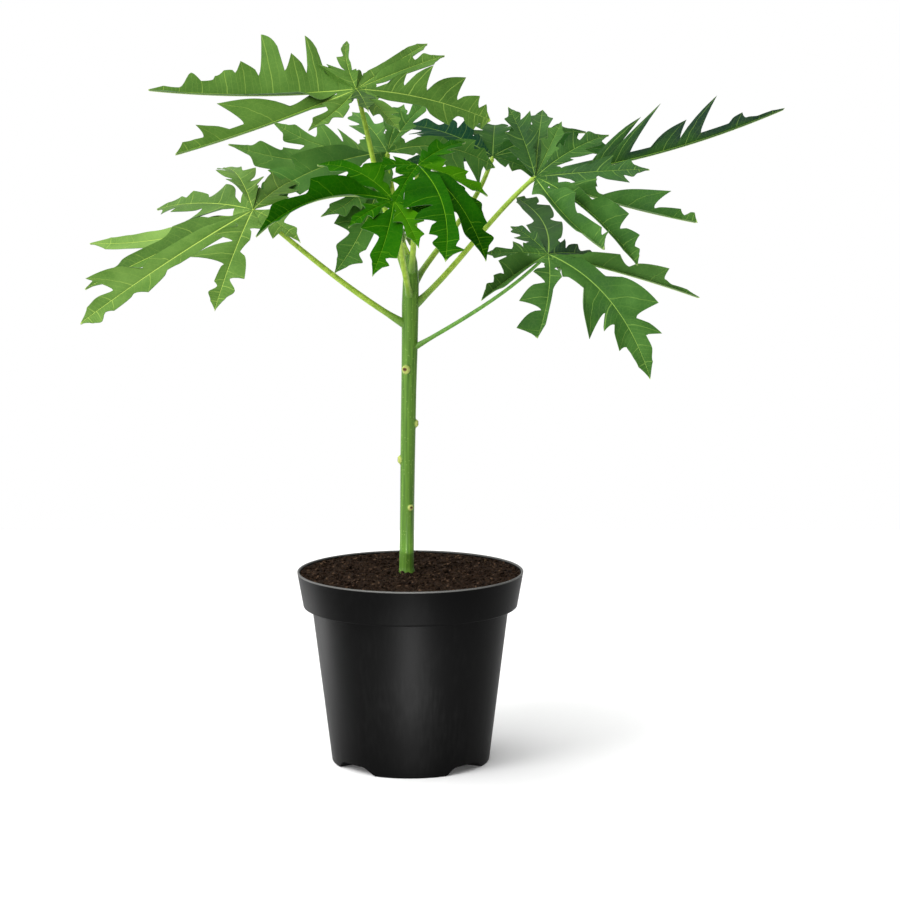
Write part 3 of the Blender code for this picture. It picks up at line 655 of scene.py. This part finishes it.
def blade_material(name, greens, rough, vein_height, gloss):
    """Leaf tissue with its veins: they follow the uv map, whose u counts leaflets along the midrib."""
    dark, usual, pale, vein = greens
    tissue = new_material(name)
    place = add_node(tissue, "TexCoord", {}).outputs["Object"]
    # Blotches of about 25 mm
    blotch = add_node(tissue, "TexNoise", {"Vector": place, "Scale": 40.0, "Detail": 3.0})
    # The lobe's tone mark is partly its own green and partly painted light and shade for how lit it is
    tone = add_node(tissue, "Attribute", {}, attribute_name="tone").outputs["Fac"]
    shade = add_node(tissue, "Math", {0: blotch, 1: 1.2, 2: -0.60}, operation="MULTIPLY_ADD")
    shade = add_node(tissue, "Math", {0: shade, 1: tone}, operation="ADD")
    green = usual
    for end, colour in ((0.8, pale), (-0.8, dark)):
        share = add_node(tissue, "MapRange", {"Value": shade, "From Min": 0.0, "From Max": end})
        green = add_node(tissue, "Mix", {"Factor": share, "A": green, "B": colour}, data_type="RGBA")
    # Side veins, one up the middle of each leaflet, waver a little, with finer ones between them
    chart = add_node(tissue, "UVMap", {}, uv_map="veins")
    wobble = add_node(tissue, "TexNoise", {"Vector": place, "Scale": 90.0, "Detail": 2.0})
    ruler = add_node(tissue, "SeparateXYZ", {"Vector": chart})
    shift = add_node(tissue, "Math", {0: wobble, 1: 0.10, 2: -0.05}, operation="MULTIPLY_ADD")
    count = add_node(tissue, "Math", {0: ruler, 1: shift}, operation="ADD")
    main = add_node(tissue, "Math", {0: count, 1: 0.5}, operation="PINGPONG")
    # The second map gives leaflets to a metre of midrib, which turns counts into widths: side veins
    # are 1.6 mm wide at the midrib and 0.8 mm at the edge, and the fine ones 0.7 mm
    pace = add_node(tissue, "UVMap", {}, uv_map="pace")
    pace = add_node(tissue, "SeparateXYZ", {"Vector": pace})
    near = add_node(tissue, "Math", {0: 0.5, 1: main}, operation="SUBTRACT")
    near = add_node(tissue, "Math", {0: near, 1: pace}, operation="DIVIDE")
    taper = add_node(tissue, "MapRange", {"Value": ruler.outputs["Y"], "To Min": 0.0008, "To Max": 0.0004})
    near = add_node(tissue, "Math", {0: near, 1: taper}, operation="DIVIDE")
    fine = add_node(tissue, "Math", {0: count, 1: 0.125}, operation="PINGPONG")
    fine = add_node(tissue, "Math", {0: fine, 1: pace}, operation="DIVIDE")
    # The net of the finest veins, with meshes of about 4 mm
    net = add_node(tissue, "TexVoronoi", {"Vector": place, "Scale": 250.0}, feature="DISTANCE_TO_EDGE")
    rib = add_node(tissue, "Attribute", {}, attribute_name="rib").outputs["Fac"]
    # Each kind of vein: how far off it is, from where to where it fades, and how clear it is there
    veins = None
    for reach, inner, outer, clear, faint in (
            (near, 0.2, 1.0, 0.42, 0.0), (fine, 0.0, 0.00035, 0.16, 0.0), (net, 0.0, 0.10, 0.05, 0.0),
            (rib, 0.15, 0.6, 0.0, 1.0)):
        kind = add_node(tissue, "MapRange", {
            "Value": reach, "From Min": inner, "From Max": outer, "To Min": clear, "To Max": faint},
            interpolation_type="SMOOTHSTEP")
        if veins is not None:
            kind = add_node(tissue, "Math", {0: veins, 1: kind}, operation="MAXIMUM")
        veins = kind
    tint = add_node(tissue, "Mix", {"Factor": veins, "A": green, "B": vein}, data_type="RGBA")
    relief = add_node(tissue, "Math", {0: veins, 1: vein_height}, operation="MULTIPLY")
    bump = add_node(tissue, "Bump", {"Height": relief, "Strength": 0.8, "Distance": 0.0008})
    finish_material(tissue, {"Roughness": rough, "IOR": 1.43, "Specular IOR Level": gloss,
                             "Base Color": tint, "Normal": bump})
    return tissue


def rib_frame(lobe, lean, station):
    """The midrib's point, its direction, and the blade's left and up, a share of the way along."""
    line = compass(lobe.heading, lobe.rise) * lobe.length
    across = compass(lobe.heading + 90)
    above = line.cross(across).normalized()
    bend = line / 2 + (above * lobe.arch + across * lobe.bend) * lobe.length
    point = 2 * station * (1 - station) * bend + station * station * line
    along = ((1 - 2 * station) * bend + station * line).normalized()
    turn = math.radians(lobe.roll) * smooth_step((station - FOLD_START) / FOLD_REACH)
    turn += math.radians(lean) * math.cos(math.radians(lobe.heading))
    roll = Matrix.Rotation(turn, 3, along)
    left = roll @ across
    return point, along, left, along.cross(left)


def sector_width(station, half_angle, sweep, rise=0):
    """How far a side vein that starts at a station runs before it meets the next lobe's."""
    slope = math.tan(half_angle) * math.cos(math.radians(rise))
    return station * slope / (1 - sweep * slope)


def leaflet_tips(lobe, side, start):
    """The station and the reach of each leaflet on one side of a lobe."""
    given = lobe.left if side > 0 else lobe.right
    if given is not None:
        return given
    count = 3 if lobe.length > LONG_LOBE else 2 if lobe.length > SHORT_LOBE else 1
    tips = []
    for index in range(count):
        share = (index + (2 if side > 0 else 1) / 3) / count
        reach = lobe.reach * (1 + (LAST_LEAFLET - 1) * share)
        tips.append((start + (LEAFLETS_END - start) * share, reach))
    return tips


def outline_knots(lobe, side, start, web):
    """Station, half width and kind of each notch and tip along one edge of a lobe."""
    def notch(station):
        return station, lobe.neck * (1 - NECK_TAPER * station), "notch"

    tips = leaflet_tips(lobe, side, start)
    first = tips[0][0] if tips else LEAFLETS_END
    knots = [(start, web, "web"), notch(min(start + SINUS_ROUND, (start + first) / 2))]
    last = max([LEAFLETS_END] + [leaflet[0] + LAST_TAIL for leaflet in tips])
    for index, (tip, reach, *breadth) in enumerate(tips):
        after = tips[index + 1][0] if index + 1 < len(tips) else last + LAST_GAP
        root = (after - tip) * LEAFLET_TAIL
        if breadth:
            root = breadth[0] * BARE_AFTER
            knots[-1] = (*knots[-1][:2], "bare")
            knots.append(notch(tip - breadth[0] * BARE_BEFORE))
        knots.append((tip, reach, "tip"))
        knots.append(notch(min(tip + root, last)))
    tooth = lobe.tooth * (1 if side > 0 else RIGHT_TOOTH)
    knots.append((last + (1 - last) * SWELL_PLACE, tooth, "swell"))
    knots.append((last + (1 - last) * SLIM_PLACE, min(SLIM, tooth), "slim"))
    knots.append((1.0, 0.0, "end"))
    return knots


def edge_at(knots, station):
    """The half width at a station, the leaflets so far, with tips at the halves, and their pace."""
    count = 0.0
    for (low, low_width, low_kind), (high, high_width, high_kind) in zip(knots, knots[1:]):
        step = {"web": 0.0, "bare": 0.0, "notch": 0.5, "tip": 0.5}.get(low_kind, 1.0)
        if station <= high:
            share = min(max((station - low) / (high - low), 0.0), 1.0) if high > low else 0.0
            if high_kind == "tip":
                bent = share ** TIP_RISE
            elif low_kind == "tip":
                bent = 1 - (1 - share) ** TIP_FALL
            elif high_kind == "end":
                bent = share ** END_FALL
            else:
                bent = smooth_step(share)
            pace = step / max(high - low, 0.001)
            return low_width + (high_width - low_width) * bent, count + pace * (station - low), pace
        count += step
    return 0.0, count, step


def lobe_stations(knot_sets, start, length):
    """Stations from the web to the tip: every notch and tip of both edges, and even steps between."""
    marks = sorted({round(knot[0], 4) for knots in knot_sets for knot in knots} | {start})
    rows = []
    for low, high in zip(marks, marks[1:]):
        steps = max(1, round((high - low) * length / ROW_STEP))
        rows += [low + (high - low) * step / steps for step in range(1, steps + 1)]
    return rows


def blade_row(lobe, lean, station, width, side, wave):
    """Points from the midrib out along a side vein, with how far each is across."""
    point, along, left, up = rib_frame(lobe, lean, station)
    fold = math.radians(lobe.fold) * smooth_step((station - FOLD_START) / FOLD_REACH)
    across = left * side * math.cos(fold) + up * math.sin(fold)
    sweep = lobe.sweep * min(1.0, (1 - station) / SWEEP_FADE)
    rib = RIB_HALF_WIDTH * (1 - RIB_TAPER * station)
    shares = [min(rib / max(width, MERGE * 10), RIB_COLUMN)] + list(COLUMNS)
    row = []
    for share in shares:
        reach = width * share
        lift = wave * share * share * width - BLADE_CURL * reach * reach
        out = across * reach + along * sweep * reach * share ** SWEEP_CURVE + up * lift
        row.append((point + out * lobe.length, share))
    return row


def tone_at(lobe, station, share):
    """How dark or pale the blade is a share of the way across it, with painted shade that may darken it to
    the leaflets' tips.
    """
    return lobe.tone + lobe.fade * math.sqrt(station) * (0.3 + 0.7 * share)


class BladeShape:
    """One blade's corners and faces, with the marks and maps that its material reads."""

    def __init__(self, hub):
        self.hub = Vector(hub)
        self.shape = bmesh.new()
        self.rib = self.shape.verts.layers.float.new("rib")
        self.tone = self.shape.verts.layers.float.new("tone")
        self.veins = self.shape.loops.layers.uv.new("veins")
        self.pace = self.shape.loops.layers.uv.new("pace")
        self.shared = {}
        self.middle = self.corner(Vector((0, 0, 0)), 1.0, 0.0)

    def corner(self, place, rib, tone):
        made = self.shape.verts.new(self.hub + place)
        made[self.rib] = rib
        made[self.tone] = tone
        return made

    def web_corner(self, key, place, tone):
        """A corner on the line where two lobes' webs meet, which the second lobe moves halfway."""
        if key not in self.shared:
            self.shared[key] = self.corner(place, 0.0, tone)
            return self.shared[key]
        made = self.shared[key]
        made.co = (made.co + self.hub + place) / 2
        made[self.tone] = (made[self.tone] + tone) / 2
        return made

    def face(self, corners, turn):
        made = self.shape.faces.new([item[0] for item in corners[::turn]])
        charted = {item[0]: item[1:] for item in corners}
        for loop in made.loops:
            place, pace = charted[loop.vert]
            loop[self.veins].uv = place
            loop[self.pace].uv = (pace, 0.0)

    def fill(self, grid, turn):
        """Covers one side of a lobe, from the hub to the tip."""
        first, last = grid[0], grid[-2]
        for near, far in zip(first, first[1:]):
            self.face([(self.middle, (first[0][1][0], 0.0), near[2]), near, far], turn)
        for low, high in zip(grid[:-1], grid[1:-1]):
            for column in range(len(low) - 1):
                self.face([low[column], high[column], high[column + 1], low[column + 1]], turn)
        for near, far in zip(last, last[1:]):
            self.face([near, grid[-1][0], far], turn)


# One side of a lobe.  turn: 1 on its left and -1 on its right; start: where its web ends
# web, room: the angles that its web and its leaflets have; line: the web's edge, if it is shared
Side = namedtuple("Side", "lobe lean turn start phase web room line knots")


def lay_side(lobe, lean, turn, start, phase, half, line):
    """One side of a lobe that has half the gap to the next lobe to itself."""
    wide = half > OPEN_GAP / 2
    web = OPEN_WEB if wide else half
    knots = outline_knots(lobe, turn, start, sector_width(start, web, lobe.sweep))
    room, line = (OPEN_SIDE, None) if wide else (half, line)
    return Side(lobe, lean, turn, start, phase, web, room, line, knots)


def edge_place(side, station, in_web):
    """The half width at a station, the leaflets so far and their pace along the midrib."""
    lobe = side.lobe
    if in_web:
        pace = 1 / max(WEB_PACE, side.start)
        return sector_width(station, side.web, lobe.sweep), (station - side.start) * pace, pace
    wanted, count, pace = edge_at(side.knots, station)
    free = (lobe.left if side.turn > 0 else lobe.right) is not None
    room = sector_width(station, side.room, lobe.sweep, lobe.rise)
    growth = FREE_GROWTH if free else SECTOR_GROWTH * room
    return min(wanted, SECTOR_SHARE * room + growth * (station - side.start)), count, pace


def side_row(blade, side, row, station, rib):
    """A row of corners from the midrib to the edge, with their places on the vein maps."""
    in_web = row < WEB_ROWS
    width, count, pace = edge_place(side, station, in_web)
    pace = max(pace / side.lobe.length, 1.0)
    wave = BLADE_WAVE * math.sin(math.pi * count + side.phase)
    line = [(rib, (count, 0.0), pace)]
    for place, share in blade_row(side.lobe, side.lean, station, width, side.turn, wave):
        tone = tone_at(side.lobe, station, share)
        if in_web and share == 1.0 and side.line is not None:
            made = blade.web_corner((side.line, row), place, tone)
        else:
            made = blade.corner(place, 0.0, tone)
        line.append((made, (count, share), pace))
    return line


def blade_mesh(leaf):
    """One leaf's upper face: lobes round the hub that share a web up to the notches between them."""
    lobes = leaf.lobes
    lengths = [lobe.length for lobe in lobes]
    sinus = min(SINUS_REACH * sum(lengths) / len(lobes), min(lengths) * SHORT_SINUS)
    halves = [math.radians((following.heading - lobe.heading) % 360) / 2
              for lobe, following in zip(lobes, lobes[1:] + lobes[:1])]
    blade = BladeShape(leaf.hub)
    dice = random.Random(leaf.place)
    grids = []
    for index, lobe in enumerate(lobes):
        start = sinus / lobe.length
        phase = dice.uniform(0, math.tau)
        before = (index - 1) % len(lobes)
        sides = (lay_side(lobe, leaf.lean, 1, start, phase, halves[index], index),
                 lay_side(lobe, leaf.lean, -1, start, phase, halves[before], before))
        stations = [start * step / WEB_ROWS for step in range(1, WEB_ROWS + 1)]
        stations += lobe_stations([side.knots for side in sides], start, lobe.length)
        ribs = []
        for station in stations:
            point, _, _, up = rib_frame(lobe, leaf.lean, station)
            groove = up * RIB_GROOVE * (1 - station)
            ribs.append(blade.corner(point - groove, 1.0, tone_at(lobe, station, 0.0)))
        for side in sides:
            rows = zip(range(len(stations)), stations, ribs)
            grids.append(([side_row(blade, side, *row) for row in rows], side.turn))
    for grid, turn in grids:
        blade.fill(grid, turn)
    loose = [item for item in blade.shape.verts if not item.link_faces]
    bmesh.ops.delete(blade.shape, geom=loose, context="VERTS")
    return finish_mesh(f"blade_{leaf.place}", blade.shape)


def add_blade(leaf, replaced, upper, under):
    """Builds one leaf's blade and thickens it downwards, most at the midribs."""
    blade = add_piece(f"blade_{leaf.place}", blade_mesh(leaf), replaced, [upper, under])
    ribs = blade.vertex_groups.new(name="ribs")
    for index, value in enumerate(blade.data.attributes["rib"].data):
        ribs.add([index], value.value, "REPLACE")
    skin = blade.modifiers.new("Thickness", "SOLIDIFY")
    skin.thickness = RIB_THICKNESS
    skin.offset = -1.0
    skin.vertex_group = "ribs"
    skin.thickness_vertex_group = BLADE_THICKNESS / RIB_THICKNESS
    skin.material_offset = 1
    skin.material_offset_rim = 1
    settle(blade, 50)
    blade.vertex_groups.clear()


under_face = blade_material("papaya leaf, pale under face", UNDER_GREENS, 0.62, 0.8, 0.10)
upper_faces = {}
for finish, greens in UPPER_GREENS.items():
    gloss = 0.02 if finish in ("fresh", "deep_shade") else 0.10
    upper_faces[finish] = blade_material(f"papaya leaf, {finish} upper face", greens, 0.55, -0.6, gloss)
for leaf in LEAVES:
    add_blade(leaf, f"leaf_{leaf.place}", upper_faces[leaf.finish], under_face)


# The leaf stalks.  Each is a smooth limb, hollow in life, that swells where it joins the stem and
# ends in a pale knot at its blade's hub, where the midribs meet.
STALK_BASE_RADIUS = 0.0042
STALK_RADIUS = 0.0028
STALK_TIP_RADIUS = 0.0019
THIN_STALK = 0.70
STALK_ROWS = 90
STALK_SIDES = 28
STALK_RIDGES = 5
STALK_RIDGE = 0.00008
STALK_SWELL = 0.16
KNOT_HEIGHT = 0.0007
KNOT_PLACE = 0.985
KNOT_REACH = 0.03
TIP_CLOSE = 0.025
TIP_SHRINK = 0.75
JOINT_SHARE = 0.30

# Stalk skin is waxy yellow-green, brighter than the blade, with faint paler streaks.  Where it
# joins the stem it takes the stem's deeper green.
stalk_skins = {}
for finish, tints in {"bright": ("#86AC30", "#B0CE4C"), "green": ("#4E8630", "#78AE44")}.items():
    skin = new_material(f"papaya leaf stalk, {finish}")
    place = add_node(skin, "TexCoord", {}).outputs["Object"]
    # Real streaks are under 1 mm; these are about 4 mm, drawn as coarse as they need to show
    lines = add_node(skin, "TexNoise", {"Vector": place, "Scale": 260.0, "Detail": 4.0})
    spread = add_node(skin, "MapRange", {"Value": lines, "From Min": 0.3, "From Max": 0.7})
    tint = add_node(skin, "Mix", {"Factor": spread, "A": tints[0], "B": tints[1]}, data_type="RGBA")
    joint = add_node(skin, "Attribute", {}, attribute_name="joint").outputs["Fac"]
    joined = add_node(skin, "Mix", {"Factor": joint, "A": tint, "B": "#5F8A34"}, data_type="RGBA")
    bump = add_node(skin, "Bump", {"Height": lines, "Strength": 0.2, "Distance": 0.0003})
    finish_material(skin, {"Roughness": 0.40, "IOR": 1.43, "Specular IOR Level": 0.35,
                           "Base Color": joined, "Normal": bump})
    stalk_skins[finish] = skin


def limb_mesh(name, centres, radii, sides, ridge):
    """A limb through its centres, closed at both ends, with its first part marked as its joint."""
    shape = bmesh.new()
    joint_layer = shape.verts.layers.float.new("joint")
    rings = []
    across = None
    for index, centre in enumerate(centres):
        before, after = centres[max(index - 1, 0)], centres[min(index + 1, len(centres) - 1)]
        along = (after - before).normalized()
        across = along.orthogonal() if across is None else across - along * across.dot(along)
        across.normalize()
        beside = along.cross(across)
        ring = []
        for side in range(sides):
            angle = math.tau * side / sides
            radius = radii[index] + ridge * math.cos(STALK_RIDGES * angle)
            made = shape.verts.new(centre + (across * math.cos(angle) + beside * math.sin(angle)) * radius)
            made[joint_layer] = smooth_step(1 - index / (len(centres) * JOINT_SHARE))
            ring.append(made)
        rings.append(ring)
    join_rings(shape, rings)
    bmesh.ops.recalc_face_normals(shape, faces=shape.faces)
    return finish_mesh(name, shape)


def stalk_line(leaf):
    """The stalk's centres and radii, from inside the stem to its knot in the blade's hub."""
    start, end = stem_at(leaf.joint)[0], Vector(leaf.hub)
    run = end - start
    heading = math.degrees(math.atan2(run.y, run.x))
    first = start + compass(heading, leaf.leave) * run.length / 3
    last = end - compass(heading, leaf.arrive) * run.length / 3
    centres, radii = [], []
    for row in range(STALK_ROWS + 1):
        t = row / STALK_ROWS
        u = 1 - t
        centres.append(u**3 * start + 3 * u * u * t * first + 3 * u * t * t * last + t**3 * end)
        radius = STALK_RADIUS + (STALK_TIP_RADIUS - STALK_RADIUS) * t
        radius += (STALK_BASE_RADIUS - STALK_RADIUS) * smooth_step(1 - t / STALK_SWELL)
        radius += KNOT_HEIGHT * smooth_step(1 - abs(t - KNOT_PLACE) / KNOT_REACH)
        radii.append(radius * (1 - smooth_step((t - 1 + TIP_CLOSE) / TIP_CLOSE) * TIP_SHRINK))
    return centres, radii


for leaf in LEAVES:
    centres, radii = stalk_line(leaf)
    skin = stalk_skins["bright"]
    if leaf.place == "lower_right":
        skin = stalk_skins["green"]
        radii = [radius * THIN_STALK for radius in radii]
    mesh = limb_mesh(f"limb_{leaf.place}", centres, radii, STALK_SIDES, STALK_RIDGE)
    settle(add_piece(f"limb_{leaf.place}", mesh, f"stalk_{leaf.place}", [skin]), 60)


# The growing tip.  Three young leaves, still folded like umbrellas, stand on short stalks round the
# stem's end.  They are as green as the freshest blades.
# Compass heading and length of each, and how steeply it climbs
TIP_LEAVES = ((200, 0.014, 62), (320, 0.012, 68), (80, 0.010, 74))
YOUNG_SINK = 0.002
YOUNG_TURNS = (-110, -55, 0, 55, 110)
YOUNG_RISE = 66
YOUNG_DROOP = 0.12
YOUNG_ROWS = 12
YOUNG_RADIUS = 0.0013
YOUNG_TAPER = 0.0007
for heading, length, rise in TIP_LEAVES:
    foot = stem_at(STEM_ROUTE[-1][0] - YOUNG_SINK)[0]
    top = foot + compass(heading, rise) * length + Vector((0, 0, YOUNG_SINK))
    lobes = tuple(
        Lobe(heading + turn, YOUNG_RISE - abs(turn) * YOUNG_DROOP, length * 0.95, 0.12, 30,
             reach=0.16, tone=0.5)
        for turn in YOUNG_TURNS)
    young = Leaf(f"young_{heading}", 0, 0, tuple(top), 0, 0, "fresh", lobes)
    add_blade(young, "tip_bud", upper_faces["fresh"], under_face)
    steps = [foot.lerp(top, row / YOUNG_ROWS) for row in range(YOUNG_ROWS + 1)]
    radii = [YOUNG_RADIUS - YOUNG_TAPER * row / YOUNG_ROWS for row in range(YOUNG_ROWS + 1)]
    mesh = limb_mesh(f"young_stalk_{heading}", steps, radii, 12, 0)
    settle(add_piece(f"young_stalk_{heading}", mesh, "tip_bud", [stalk_skins["bright"]]), 60)


# The studio: a plain pale floor, soft light from large panels, and the photograph's camera
paper = new_material("pale matt studio paper")
finish_material(paper, {"Base Color": "#FDFDFD", "Roughness": 0.9})
floor_shape = bmesh.new()
bmesh.ops.create_grid(floor_shape, x_segments=1, y_segments=1, size=1.2)
floor = bpy.data.objects.new("studio_floor", finish_mesh("studio_floor", floor_shape))
bpy.context.scene.collection.objects.link(floor)
floor.data.materials.append(paper)

# The backdrop is white, a large soft box hangs up to the left, and the rest of the room lights the
# plant only dimly, though to the eye its walls are as white as the backdrop
world = bpy.data.worlds.new("studio")
world.use_nodes = True
room = add_node(world, "TexCoord", {}).outputs["Generated"]
bearing = add_node(world, "SeparateXYZ", {"Vector": room}).outputs["Y"]
towards = add_node(world, "VectorMath", {0: room, 1: (-0.62, -0.22, 0.75)}, operation="DOT_PRODUCT")
brightness = add_node(world, "LightPath", {}).outputs["Is Camera Ray"]
for value, far, strength in ((bearing, 0.8, 1.0), (towards, 0.9, 2.0)):
    part = add_node(world, "MapRange", {
        "Value": value, "From Min": 0.2, "From Max": far, "To Min": 0.25, "To Max": strength},
        interpolation_type="SMOOTHSTEP")
    brightness = add_node(world, "Math", {0: brightness, 1: part}, operation="MAXIMUM")
background = world.node_tree.nodes["Background"]
set_input(world, background, "Color", "#FFFFFF")
set_input(world, background, "Strength", brightness)
bpy.context.scene.world = world
bpy.context.scene.view_settings.view_transform = "Standard"

# Name, place, aim, size in metres, watts, spread in degrees.  The strips draw the pot's upright gleams
LAMPS = (
    ("key", (-1.5, -1.3, 1.8), (0, 0, 0.4), 0.9, 22, 180),
    ("low strip", (0.02, -0.70, 0.045), (0, -0.08, 0.080), 0.06, 0.28, 20),
    ("side strip", (-0.65, 0.35, 0.030), (-0.07, -0.03, 0.065), 0.06, 0.08, 20),
)
for name, place, aim, size, power, spread in LAMPS:
    lamp = bpy.data.lights.new(name, "AREA")
    lamp.energy = power
    lamp.size = size
    lamp.spread = math.radians(spread)
    panel = bpy.data.objects.new(name, lamp)
    panel.location = place
    panel.rotation_euler = (Vector(aim) - Vector(place)).to_track_quat("-Z", "Y").to_euler()
    panel.visible_camera = False
    bpy.context.scene.collection.objects.link(panel)

FOCAL_PIXELS = 2300
FRAME_PIXELS = 900
CAMERA_PLACE = (0.035, -2.0, 0.5475)
CAMERA_DIP = 7.7
lens = bpy.data.cameras.new("photo camera")
lens.sensor_width = 36
lens.lens = lens.sensor_width * FOCAL_PIXELS / FRAME_PIXELS
camera = bpy.data.objects.new("photo camera", lens)
camera.location = CAMERA_PLACE
camera.rotation_euler = (math.radians(90 - CAMERA_DIP), 0, 0)
bpy.context.scene.collection.objects.link(camera)
bpy.context.scene.camera = camera
